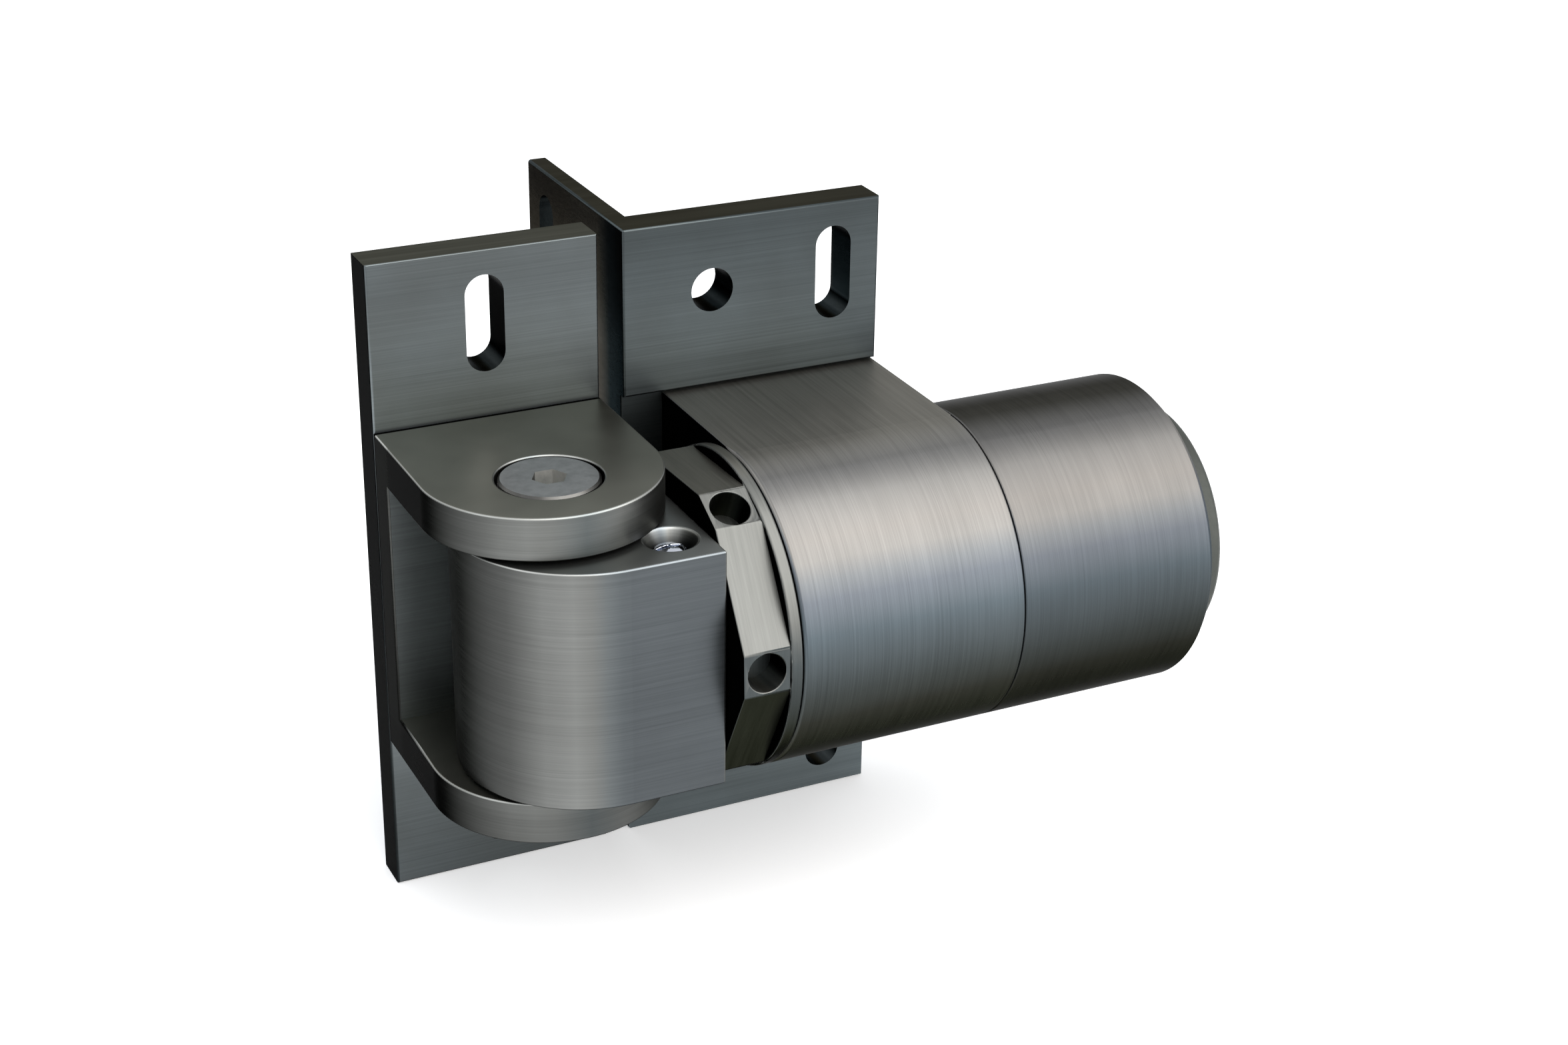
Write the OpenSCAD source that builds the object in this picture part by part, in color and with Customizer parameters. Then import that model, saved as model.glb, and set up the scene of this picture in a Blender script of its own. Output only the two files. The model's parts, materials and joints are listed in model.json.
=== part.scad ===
// Self-closing gate hinge. A fork on a post plate holds a fixed pin. A knuckle block turns on the pin
// and carries a cylinder with a spring and an oil damper, and a bracket for the gate.
// A pinion cut on the pin drives a rack, so swinging the gate draws the rod and loads the spring.
// The origin is the middle of the post plate's back face. +X points to the gate, +Y into the post.
// Each piece is drawn with the pin's axis at x = y = 0 and then set back by at_pin().

/* [Plates] */
// Height of the post plate and of the gate bracket
plate_h = 188; // [180:1:220]
// Width of the post plate and of the fork
post_w = 65; // [58:1:70]
// Thickness of the post plate and of the bracket's face leg
plate_t = 12; // [10:0.5:14]
// Distance of a slot's middle from the end of its plate
slot_in = 20.6; // [17:0.2:24]
// Width of a slot
slot_w = 11; // [9:0.5:13]
// Length of a slot
slot_l = 27.4; // [20:0.2:30]

/* [Fork and block] */
// Metal between the cylinder's outline and the front face of the plates
saddle_back = 1; // [0.8:0.1:5]
// Height of the knuckle block
block_h = 68; // [64:1:76]
// Width of the knuckle block, twice its nose radius
block_w = 68.8; // [66:0.2:71]
// Distance from the pin's axis to the round nose of the block
nose_x = 26.2; // [25:0.2:30]
// Distance from the pin's axis to the flat end of the block
block_end_x = 34.5; // [34:0.5:38]
// Thickness of an ear of the fork
ear_t = 12; // [10:0.5:16]
// Gap between an ear and the block
ear_gap = 1; // [0.8:0.1:1.4]
// Gap between the fork's web and the block
web_gap = 1.1; // [0.8:0.1:2]
// Distance of the middle of the ears' round end behind the pin's axis
ear_set = 7; // [4:0.5:9]

/* [Pin] */
// Diameter of the pin
pin_d = 18; // [17.5:0.5:20]
// Diameter of the pin's head
pin_head_d = 26.8; // [25:0.2:30]
// Height of the pin's head
pin_head_t = 6.5; // [5:0.5:8]
// Hexagon socket in the head, across its flats
pin_hex_af = 8.4; // [6:0.2:10]
// Depth of the hexagon socket
pin_hex_depth = 6; // [5:0.5:9]
// Tooth module of the pinion and the rack
tooth_m = 1.25; // [1.1:0.05:1.25]
// Teeth of the pinion
pinion_teeth = 12; // [11:1:12]
// Height of the pinion's teeth along the pin
pinion_face = 24; // [20:1:26]
// Angle through which the gate opens, in degrees
open_angle = 110; // [90:5:110]
// Wall of a pin bush
bush_wall = 3; // [2.5:0.5:3.5]
// Diameter of a bush's flange
bush_flange_d = 34; // [30:1:40]
// Height of a pin seal
pin_seal_t = 3.8; // [3:0.2:5]
// Height of a pin bearing with its seal
bearing_h = 18; // [17:0.5:19]

/* [Collar] */
// Width of the twelve-sided part of the collar
collar_w = 13.2; // [12.6:0.2:16]
// How far the collar's corners stay inside the cylinder's outline
collar_in = 0.3; // [0:0.1:1.5]
// Width of the six short sides that hold the spanner holes
short_side = 12; // [11.4:0.2:14]
// Turn of the first spanner hole up from the front, in degrees
collar_turn = 2.4; // [0:0.2:30]
// Diameter of a spanner hole
spanner_hole_d = 10.8; // [8:0.2:11]
// Depth of a spanner hole
spanner_hole_depth = 10; // [8:1:12]
// Thickness of the collar's round flange
flange_t = 3.5; // [2.5:0.1:5]
// Length of the threaded nose
collar_nose_l = 30; // [28:1:31]
// Thickness of the thrust washer between block and collar
washer_t = 0.7; // [0.6:0.1:1.5]

/* [Cylinder] */
// Outside diameter of the cylinder
body_d = 89; // [87:0.2:89.6]
// Wall of the cylinder
cylinder_wall = 6.3; // [5.5:0.1:6.8]
// Thickness of the saddle's front wall
saddle_wall = 7.8; // [6:0.2:9]
// Length of the rear sleeve that shows
sleeve_l = 61; // [58:1:80]
// Length of the sleeve's spigot in the saddle
spigot_l = 8; // [6:0.5:12]
// Width of the sleeve's rim that shows round the end cap's disc
cap_in = 9; // [7:0.5:14]
// Height of the end cap's disc
cap_proud = 8.7; // [6:0.1:12]
// Depth of the end cap's plug in the sleeve
plug_l = 11.3; // [10:0.1:14]

/* [Gate bracket] */
// Gap between the post plate and the bracket
plate_gap = 7.2; // [6:0.2:9]
// Width of the bracket's face leg
bracket_w = 78.6; // [76:0.2:81]
// Depth of the channel in the face leg that takes the saddle
channel_depth = 2.8; // [1:0.1:4]
// Gap between the saddle and the upper and the lower edge of the channel
channel_gap = 0.8; // [0.3:0.1:2]
// Thickness of the bracket's side leg
leg_t = 6; // [5:0.5:8]
// Length of the side leg behind the face leg
leg_l = 59.5; // [50:0.5:80]
// Distance of the face leg's slots from its outer edge
gate_slot_in = 14.4; // [12:0.2:22]
// Distance of the face leg's round holes from its inner edge
gate_hole_in = 26.8; // [20:0.2:34]
// Diameter of the face leg's round holes
gate_hole_d = 12.6; // [10:0.2:14]
// Distance of the side leg's slots from its rear edge
leg_slot_in = 14; // [12:0.5:22]

/* [Damper and rod] */
// Outside diameter of the guide tube
tube_od = 48; // [46:0.2:48]
// Wall of the guide tube
tube_wall = 4; // [3:0.2:5]
// Thickness of the damper piston
piston_t = 6; // [5:0.5:8]
// Width of the piston ring
ring_t = 2.4; // [1.6:0.2:3]
// Diameter of the check ball in the piston
ball_d = 4; // [3:0.5:4.5]
// Diameter of the pull rod
rod_d = 14; // [12:0.5:16]
// Thickness of the rod gland
gland_t = 14; // [12:0.5:18]
// Width of the rod seal
rod_seal_t = 4; // [3:0.5:5]
// Wall of the rod seal
rod_seal_wall = 3.5; // [2.5:0.5:4]
// Oil space between the piston and the gland at rest
oil_gap = 9.5; // [8:0.5:12]
// Thickness of the clip behind the gland
clip_t = 1.6; // [1.2:0.2:2]
// Length of the crosshead
crosshead_l = 16; // [14:0.5:18]
// Diameter of the cross pin
cross_pin_d = 9; // [7:0.5:10]
// Height of the rack bar
rack_h = 20; // [16:0.5:22]
// Gap between the back of the rack bar and the bore of the guide tube
rack_in = 5.2; // [4.6:0.2:6]
// Locknut on the rod, across its flats
locknut_af = 22; // [20:1:26]
// Thickness of the locknut
locknut_t = 8; // [6:0.5:10]

/* [Spring] */
// Diameter of the spring's wire
wire_d = 7; // [6:0.25:7.25]
// Coils of the spring, with one closed coil at each end
coils = 5; // [4:1:5]
// Thickness of the seat's and the follower's pressing faces
seat_t = 4; // [3:0.5:5]
// Length of thread inside the spring seat
seat_thread_l = 18; // [14:0.5:20]
// Travel of the spring seat
seat_travel = 6; // [4:0.5:6]
// Thickness of the spring follower
follower_t = 14; // [13:0.5:15]
// Wall of the spring seat round its thread
seat_wall = 5.2; // [4.6:0.2:6]
// Width of the key that stops the seat from turning
seat_key_w = 6; // [4:0.5:8]

/* [Valve and screws] */
// Distance of the valve from the block's flat end
valve_in_x = 10.2; // [9:0.2:12]
// Distance of the valve from the block's front face
valve_in_y = 12.8; // [10:0.2:13.2]
// Diameter of the valve's bowl
bowl_d = 14.8; // [12:0.2:16]
// Depth of the valve's bowl
bowl_depth = 5; // [4:0.5:6]
// Diameter of the valve screw's head
valve_head_d = 8.4; // [7:0.2:10]
// Diameter of the fill plug under the block
plug_d = 10; // [8:0.5:12]
// Thread diameter of the countersunk screws
screw_d = 8; // [6:0.5:8]
// Length of the countersunk screws
screw_l = 25; // [22:0.5:27]
// Distance between the fork screws across the plate
fork_screw_x = 40; // [30:1:44]
// Distance between the two bracket screws of a row
bracket_screw_x = 40; // [30:1:46]
// Distance of the bracket screws from the upper and the lower side of the saddle
bracket_screw_in = 11.5; // [10:0.5:13]

/* [Hidden] */
$fn = 96;

// Clearances: a close fit, a fit between pieces screwed together, and a gap for free movement
fit = 0.05;
free = 0.3;
cut = 1; // how far a cutting solid runs past what it cuts

// Fork, block and pin
pin_to_face = body_d / 2 + saddle_back;
pin_back = pin_to_face + plate_t;
slot_pitch = plate_h - 2 * slot_in;
block_top = block_h / 2;
ear_z = block_top + ear_gap;
fork_top = ear_z + ear_t;
web_t = pin_to_face - block_w / 2 - web_gap;
ear_r = post_w / 2;
block_r = block_w / 2;
pin_r = pin_d / 2;
bush_r = pin_r + bush_wall;
bush_bore = pin_r + fit;
bush_flange_t = ear_gap - 0.2;
pin_seat_z = fork_top - pin_head_t;
head_gap = 0.8; // groove round the pin's head
end_disc_t = 4;
end_disc_r = 13;
key_w = 5;
key_h = 5;
socket_af = 5; // hexagon sockets of the countersunk screws
socket_depth = 3.5;

// Teeth, stubbed, with a steep flank that needs no undercut
flank = 25;
pitch_r = tooth_m * pinion_teeth / 2;
tip_h = 0.8 * tooth_m;
root_h = tooth_m;
backlash = 0.06; // taken off each flank
tooth_pitch = PI * tooth_m;
base_r = pitch_r * cos(flank);
stroke = pitch_r * open_angle * PI / 180;
flank_steps = 5;

// Stations along the cylinder, from the block to the end cap
collar_x = block_end_x + washer_t;
flange_x = collar_x + collar_w;
flange_end = flange_x + flange_t;
saddle_x = flange_end + free;
bracket_x = post_w / 2 + plate_gap;
saddle_end = bracket_x + bracket_w;
saddle_l = saddle_end - saddle_x;
sleeve_end = saddle_end + sleeve_l;
cap_end = sleeve_end + cap_proud;
plug_x = sleeve_end - plug_l;
body_r = body_d / 2;
bore_r = body_r - cylinder_wall;
collar_r = body_r - collar_in;
collar_nose_r = bore_r - seat_wall;
collar_nose_end = flange_end + collar_nose_l;
cap_r = body_r - cap_in;
spigot_wall = 3; // wall of the sleeve's spigot
spigot_r = bore_r + spigot_wall;

// Bracket
gate_slot_x = saddle_end - gate_slot_in;
gate_hole_x = bracket_x + gate_hole_in;
leg_end = pin_back + leg_l;
leg_slot_y = leg_end - leg_slot_in;
bracket_screw_mid = (saddle_x + saddle_end) / 2;
bracket_screw_z = body_r - bracket_screw_in;

// Damper, rod and spring
tube_r = tube_od / 2;
tube_bore = tube_r - tube_wall;
tube_x = bush_r + 1.5;
tube_end = plug_x + 6;
piston_x = tube_x + 0.6 + stroke;
piston_end = piston_x + piston_t;
piston_r = tube_bore - fit;
ring_depth = 2.4;
rod_r = rod_d / 2;
rack_lead = 5; // rack ahead of the pin's axis at rest
rack_tip_y = pitch_r - tip_h;
rack_root_y = pitch_r + root_h;
rack_back_y = tube_bore - rack_in;
rack_teeth_end = stroke + rack_lead + tooth_pitch;
rack_room = 0.4; // room past the rack's end when the gate is open
chamber_r = pitch_r + tip_h + 1.5;
chamber_top = block_top - bearing_h;
gland_x = piston_end + oil_gap;
gland_end = gland_x + gland_t;
clip_depth = 1;
clip_mouth = 5;
cross_x = plug_x - follower_t / 2 - 1;
crosshead_x = cross_x - crosshead_l / 2;
follower_x = cross_x - follower_t / 2;
follower_r = bore_r - 1.7;
cross_pin_r = cross_pin_d / 2;
seat_x = collar_nose_end + 2; // spring side of the thread; the pressing face follows
spring_x = seat_x + seat_t;
spring_end = follower_x;
seat_r = bore_r - free;
seat_key_h = 4.4;
seat_key_out = bore_r + 2;
seat_key_x = saddle_x + saddle_wall + 2;
seat_key_end = spring_x + seat_travel + 2;

// Valve, plugs and screws
valve_x = block_end_x - valve_in_x;
valve_y = valve_in_y - block_r;
valve_head_r = valve_head_d / 2;
valve_top = block_top - 3;
valve_shank_r = 3.5;
ball_y = (rod_r + piston_r - ring_depth) / 2; // distance of the check ball from the rod's axis
valve_foot = block_top - 16;
port_r = 1.5;
gallery_r = 1;
screw_r = screw_d / 2;
head_r = screw_d;
head_h = head_r - screw_r;
fork_screw_z = ear_z + ear_t / 2;

// Coil spring: rings of points carried along a helix whose end coils lie close
coil_r = (bore_r + tube_r) / 2;
ring_sides = 8;
coil_steps = 24;
spring_rings = coils * coil_steps;
close_pitch = wire_d + 0.5;
open_pitch = (spring_end - spring_x - wire_d - 2 * close_pitch) / (coils - 2);

// Way along the axis after so many turns: close, open, close
function coil_way(t) =
    t < 1 ? close_pitch * t
    : t < coils - 1 ? close_pitch + open_pitch * (t - 1)
    : close_pitch + open_pitch * (coils - 2) + close_pitch * (t - coils + 1);
function coil_mid(i) =
    let (t = i / coil_steps)
    [spring_x + wire_d / 2 + coil_way(t), coil_r * cos(360 * t), coil_r * sin(360 * t)];
// One ring of the wire, in the plane through the cylinder's axis
function coil_ring(i) =
    let (m = coil_mid(i), a = 360 * i / coil_steps)
    [for (k = [0:ring_sides - 1])
        let (b = 360 * k / ring_sides, r = coil_r + wire_d / 2 * cos(b))
        [m[0] + wire_d / 2 * sin(b), r * cos(a), r * sin(a)]];
spring_points = [for (i = [0:spring_rings]) each coil_ring(i)];
spring_faces = [
    for (i = [0:spring_rings - 1]) for (k = [0:ring_sides - 1])
        let (a = i * ring_sides + k, b = i * ring_sides + (k + 1) % ring_sides)
        each [[a, a + ring_sides, b], [b, a + ring_sides, b + ring_sides]],
    for (k = [1:ring_sides - 2]) [0, k, k + 1],
    for (k = [1:ring_sides - 2])
        let (e = spring_rings * ring_sides)
        [e, e + k + 1, e + k]];
spring_gap = min([for (i = [0:spring_rings]) for (j = [i + coil_steps / 2:spring_rings])
    norm(coil_mid(i) - coil_mid(j))]) - wire_d;
echo(spring_gap = spring_gap);

// Puts a piece drawn round the pin's axis at its place behind the origin
module at_pin() {
    translate([0, -pin_back, 0]) children();
}

// Round bar along the cylinder's axis
module bar_x(x0, x1, r) {
    translate([x0, 0, 0]) rotate([0, 90, 0]) cylinder(r = r, h = x1 - x0);
}

// Ring along the cylinder's axis
module ring_x(x0, x1, r_out, r_in) {
    difference() {
        bar_x(x0, x1, r_out);
        bar_x(x0 - cut, x1 + cut, r_in);
    }
}

// Turned shape along the cylinder's axis from points [radius, x]
module turned_x(points) {
    rotate([0, 90, 0]) rotate_extrude() polygon(points);
}

// Ring along the pin's axis
module ring_z(z0, z1, r_out, r_in) {
    translate([0, 0, z0]) difference() {
        cylinder(r = r_out, h = z1 - z0);
        translate([0, 0, -cut]) cylinder(r = r_in, h = z1 - z0 + 2 * cut);
    }
}

// Solid that cuts a tall slot through something h thick, upwards from the floor of its own frame
module slot_cut(h) {
    for (s = [-1, 1]) translate([0, s * (slot_l - slot_w) / 2, 0]) cylinder(d = slot_w, h = h);
    translate([-slot_w / 2, -(slot_l - slot_w) / 2, 0]) cube([slot_w, slot_l - slot_w, h]);
}

// The upper and the lower slot, cut along +Y from y0
module slot_pair_y(x, y0, h) {
    for (s = [-1, 1]) translate([x, y0, s * slot_pitch / 2]) rotate([90, 0, 180]) slot_cut(h);
}

// The upper and the lower slot, cut along +X from x0
module slot_pair_x(x0, y, h) {
    for (s = [-1, 1]) translate([x0, y, s * slot_pitch / 2]) rotate([90, 0, 90]) slot_cut(h);
}

// Countersunk screw whose head is flush with the floor of its own frame; it points up
module sunk_screw(length) {
    difference() {
        rotate_extrude() polygon([[0, 0], [head_r - 0.1, 0], [head_r - 0.1, 0.1],
            [screw_r, head_h], [screw_r, length - 1], [screw_r - 1, length], [0, length]]);
        translate([0, 0, -cut]) cylinder(d = socket_af / cos(30), h = socket_depth + cut, $fn = 6);
    }
}

// Hole for such a screw: clear through the first plate, close in what it is screwed into
module sunk_hole(plate, length) {
    translate([0, 0, -cut]) cylinder(r = screw_r + 0.5, h = plate + cut);
    translate([0, 0, -0.01]) cylinder(r1 = head_r + 0.01, r2 = screw_r, h = head_h + 0.01);
    translate([0, 0, -cut]) cylinder(r = screw_r + fit, h = length + 2);
}

// Places of the four fork screws, pointing from the post plate's back to the front
module fork_screw_places() {
    for (x = [-1, 1]) for (z = [-1, 1])
        translate([x * fork_screw_x / 2, pin_back, z * fork_screw_z]) rotate([90, 0, 0]) children();
}

// Places of the four bracket screws
module bracket_screw_places() {
    for (x = [-1, 1]) for (z = [-1, 1])
        translate([bracket_screw_mid + x * bracket_screw_x / 2, pin_back, z * bracket_screw_z])
            rotate([90, 0, 0]) children();
}

// Outline of the ears: straight sides and a round end
module ear_outline() {
    translate([0, ear_set]) circle(r = ear_r);
    translate([-ear_r, ear_set]) square([post_w, pin_to_face - ear_set]);
}

// Outline of the knuckle block: round nose and flat end
module block_outline() {
    intersection() {
        translate([block_r - nose_x, 0]) circle(r = block_r);
        translate([-nose_x - cut, -block_w]) square([block_r + cut, 2 * block_w]);
    }
    translate([block_r - nose_x, -block_r]) square([block_end_x + nose_x - block_r, block_w]);
}

// Involute angle, in degrees, at a radius of the pinion's flank
function inv(r) = let (a = acos(min(1, base_r / r))) tan(a) * 180 / PI - a;
// Half angle of a pinion tooth at a radius
function half_tooth(r) =
    90 / pinion_teeth - backlash / pitch_r * 180 / PI + inv(pitch_r) - inv(max(r, base_r));

// Outline of the pinion with a tooth on +Y
module pinion_outline() {
    r0 = pitch_r - root_h;
    r1 = pitch_r + tip_h;
    radii = [r0, for (i = [0:flank_steps]) base_r + (r1 - base_r) * i / flank_steps];
    polygon([for (n = [0:pinion_teeth - 1])
        let (a = 90 + n * 360 / pinion_teeth)
        each [
            for (r = radii) r * [cos(a - half_tooth(r)), sin(a - half_tooth(r))],
            for (i = [len(radii) - 1:-1:0])
                let (r = radii[i])
                r * [cos(a + half_tooth(r)), sin(a + half_tooth(r))]]]);
}

// Outline of the rack with a gap at x = 0
module rack_outline() {
    half = tooth_pitch / 4 - backlash;
    tip = half - tip_h * tan(flank);
    foot = half + root_h * tan(flank);
    first = ceil((-rack_lead + foot) / tooth_pitch - 0.5);
    last = floor((rack_teeth_end - foot) / tooth_pitch - 0.5);
    translate([-rack_lead, rack_root_y]) square([piston_x + rack_lead, rack_back_y - rack_root_y]);
    translate([rack_teeth_end, rack_tip_y])
        square([piston_x - rack_teeth_end, rack_root_y - rack_tip_y + 0.1]);
    for (n = [first:last]) translate([(n + 0.5) * tooth_pitch, 0]) polygon([
        [-foot, rack_root_y + 0.1], [-foot, rack_root_y], [-tip, rack_tip_y],
        [tip, rack_tip_y], [foot, rack_root_y], [foot, rack_root_y + 0.1]]);
}

module post_plate() {
    color([0.30, 0.31, 0.32]) at_pin() difference() {
        translate([-post_w / 2, pin_to_face, -plate_h / 2]) cube([post_w, plate_t, plate_h]);
        slot_pair_y(0, pin_to_face - cut, plate_t + 2 * cut);
        fork_screw_places() sunk_hole(plate_t, screw_l);
    }
}

module fork() {
    color([0.33, 0.34, 0.35]) at_pin() difference() {
        union() {
            translate([-post_w / 2, pin_to_face - web_t, -fork_top]) cube([post_w, web_t, 2 * fork_top]);
            translate([0, 0, ear_z]) linear_extrude(ear_t) ear_outline();
            translate([0, 0, -fork_top]) linear_extrude(ear_t) ear_outline();
        }
        translate([0, 0, -fork_top - cut]) cylinder(r = pin_r + fit, h = 2 * fork_top + 2 * cut);
        translate([0, 0, pin_seat_z]) cylinder(r = pin_head_d / 2 + head_gap, h = pin_head_t + cut);
        translate([0, 0, -fork_top - cut]) cylinder(r = end_disc_r + 0.4, h = end_disc_t + cut);
        translate([-key_w / 2, -pin_r - key_h / 2, -fork_top]) cube([key_w, key_h, ear_t + cut]);
        fork_screw_places() sunk_hole(plate_t, screw_l);
    }
}

module fork_screws() {
    color([0.25, 0.25, 0.26]) at_pin() fork_screw_places() sunk_screw(screw_l);
}

module hinge_pin() {
    foot = -fork_top + end_disc_t;
    color([0.50, 0.51, 0.53]) at_pin() difference() {
        union() {
            translate([0, 0, foot]) cylinder(r = pin_r, h = -pinion_face / 2 - foot);
            translate([0, 0, -pinion_face / 2]) linear_extrude(pinion_face) pinion_outline();
            translate([0, 0, pinion_face / 2]) cylinder(r = pin_r, h = pin_seat_z - pinion_face / 2);
            translate([0, 0, pin_seat_z]) rotate_extrude() polygon([[0, 0], [pin_head_d / 2, 0],
                [pin_head_d / 2, pin_head_t - 0.6], [pin_head_d / 2 - 0.6, pin_head_t], [0, pin_head_t]]);
        }
        translate([0, 0, fork_top - pin_hex_depth])
            cylinder(d = pin_hex_af / cos(30), h = pin_hex_depth + cut, $fn = 6);
        translate([-key_w / 2, -pin_r - key_h / 2, foot - cut]) cube([key_w, key_h, ear_t - end_disc_t + cut]);
        translate([0, 0, foot - cut]) cylinder(r = screw_r + fit, h = screw_l - end_disc_t + 2 + cut);
    }
}

module pin_key() {
    color([0.45, 0.45, 0.46]) at_pin()
        translate([-key_w / 2, -pin_r - key_h / 2, -fork_top + end_disc_t])
            cube([key_w, key_h, ear_t - end_disc_t - 0.4]);
}

module pin_end_disc() {
    color([0.40, 0.41, 0.42]) at_pin() translate([0, 0, -fork_top]) difference() {
        cylinder(r = end_disc_r, h = end_disc_t);
        sunk_hole(end_disc_t, end_disc_t + 2);
    }
}

module pin_end_screw() {
    color([0.25, 0.25, 0.26]) at_pin() translate([0, 0, -fork_top]) sunk_screw(screw_l);
}

module knuckle_block() {
    color([0.36, 0.37, 0.38]) at_pin() difference() {
        translate([0, 0, -block_top]) linear_extrude(block_h) block_outline();
        translate([0, 0, -block_top - cut]) cylinder(r = bush_r + fit, h = block_top - chamber_top + cut);
        translate([0, 0, chamber_top]) cylinder(r = bush_r + fit, h = block_top - chamber_top + cut);
        translate([0, 0, -chamber_top - cut]) cylinder(r = chamber_r, h = 2 * chamber_top + 2 * cut);
        bar_x(tube_x, block_end_x + cut, tube_r + fit);
        translate([-rack_lead - stroke - rack_room, rack_tip_y - free, -rack_h / 2 - free])
            cube([rack_lead + stroke + rack_room + tube_x + cut,
                rack_back_y - rack_tip_y + 2 * free, rack_h + 2 * free]);
        translate([valve_x, valve_y, 0]) {
            translate([0, 0, block_top - bowl_depth])
                cylinder(r1 = valve_head_r + 0.6, r2 = bowl_d / 2, h = bowl_depth + 0.001);
            translate([0, 0, valve_foot]) cylinder(r = valve_shank_r + fit, h = block_top - valve_foot);
            cylinder(r = port_r, h = block_top - cut);
            translate([0, 0, -block_top - cut]) cylinder(d = plug_d + 2 * fit, h = 8 + cut);
            translate([0, 0, -block_top]) cylinder(r = port_r, h = block_top);
        }
    }
}

module bush() {
    z0 = chamber_top + pin_seal_t;
    ring_z(z0, block_top, bush_r, bush_bore);
    ring_z(block_top, block_top + bush_flange_t, bush_flange_d / 2, bush_bore);
}

module upper_bush() {
    color([0.62, 0.50, 0.28]) at_pin() bush();
}

module lower_bush() {
    color([0.62, 0.50, 0.28]) at_pin() mirror([0, 0, 1]) bush();
}

module upper_pin_seal() {
    color([0.10, 0.10, 0.10]) at_pin() ring_z(chamber_top, chamber_top + pin_seal_t, bush_r, bush_bore);
}

module lower_pin_seal() {
    color([0.10, 0.10, 0.10]) at_pin() ring_z(-chamber_top - pin_seal_t, -chamber_top, bush_r, bush_bore);
}

module valve_screw() {
    dome = 1.2;
    groove_z = valve_foot + 5;
    color([0.80, 0.82, 0.85]) at_pin() translate([valve_x, valve_y, 0]) difference() {
        rotate_extrude() polygon([[0, valve_foot - 1.5], [0.5, valve_foot - 1.5], [port_r - 0.2, valve_foot],
            [valve_shank_r, valve_foot + 0.6], [valve_shank_r, groove_z], [valve_shank_r - 1, groove_z],
            [valve_shank_r - 1, groove_z + 2], [valve_shank_r, groove_z + 2],
            [valve_shank_r, block_top - bowl_depth], [valve_head_r, block_top - bowl_depth],
            [valve_head_r, valve_top - dome],
            for (a = [15:15:90]) [valve_head_r * cos(a), valve_top - dome + dome * sin(a)]]);
        translate([-valve_head_r - cut, -0.6, valve_top - 1.4]) cube([2 * valve_head_r + 2 * cut, 1.2, 3]);
    }
}

module valve_seal() {
    groove_z = valve_foot + 5;
    color([0.10, 0.10, 0.10]) at_pin() translate([valve_x, valve_y, 0])
        ring_z(groove_z + 0.1, groove_z + 1.9, valve_shank_r, valve_shank_r - 1 + fit);
}

module fill_plug() {
    color([0.25, 0.25, 0.26]) at_pin() translate([valve_x, valve_y, -block_top]) difference() {
        cylinder(d = plug_d, h = 7.5);
        translate([0, 0, -cut]) cylinder(d = socket_af / cos(30), h = socket_depth + cut, $fn = 6);
    }
}

module thrust_washer() {
    color([0.62, 0.50, 0.28]) at_pin()
        ring_x(block_end_x, collar_x, collar_nose_r - 1, tube_r + free);
}

module adjuster_collar() {
    half = asin(short_side / (2 * collar_r));
    color([0.55, 0.57, 0.56]) at_pin() difference() {
        union() {
            // corners go from -Y up towards +Z, seen along +X
            translate([collar_x, 0, 0]) rotate([90, 0, 90]) linear_extrude(collar_w)
                polygon([for (k = [0:5]) for (s = [1, -1])
                    let (a = 180 - collar_turn - 60 * k + s * half)
                    collar_r * [cos(a), sin(a)]]);
            turned_x([[0, flange_x], [body_r - 0.4, flange_x], [body_r, flange_x + 0.4],
                [body_r, flange_end - 0.4], [body_r - 0.4, flange_end], [0, flange_end]]);
            bar_x(flange_end, collar_nose_end, collar_nose_r);
        }
        bar_x(collar_x - cut, collar_nose_end + cut, tube_r + fit);
        for (k = [0:5]) rotate([90 - collar_turn - 60 * k, 0, 0])
            translate([collar_x + collar_w / 2, 0, collar_r - spanner_hole_depth])
                cylinder(d = spanner_hole_d, h = spanner_hole_depth + cut);
    }
}

module spring_seat() {
    color([0.45, 0.46, 0.47]) at_pin() difference() {
        bar_x(seat_x - seat_thread_l, spring_x, seat_r);
        bar_x(seat_x - seat_thread_l - cut, seat_x, collar_nose_r + fit);
        bar_x(seat_x - cut, spring_x + cut, tube_r + free);
        translate([seat_x - seat_thread_l - cut, -seat_key_w / 2 - 0.1, -seat_r - cut])
            cube([seat_thread_l + seat_t + 2 * cut, seat_key_w + 0.2,
                seat_r + cut - seat_key_out + seat_key_h + free]);
    }
}

module seat_key() {
    color([0.45, 0.45, 0.46]) at_pin() translate([seat_key_x, -seat_key_w / 2, -seat_key_out])
        cube([seat_key_end - seat_key_x, seat_key_w, seat_key_h]);
}

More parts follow.
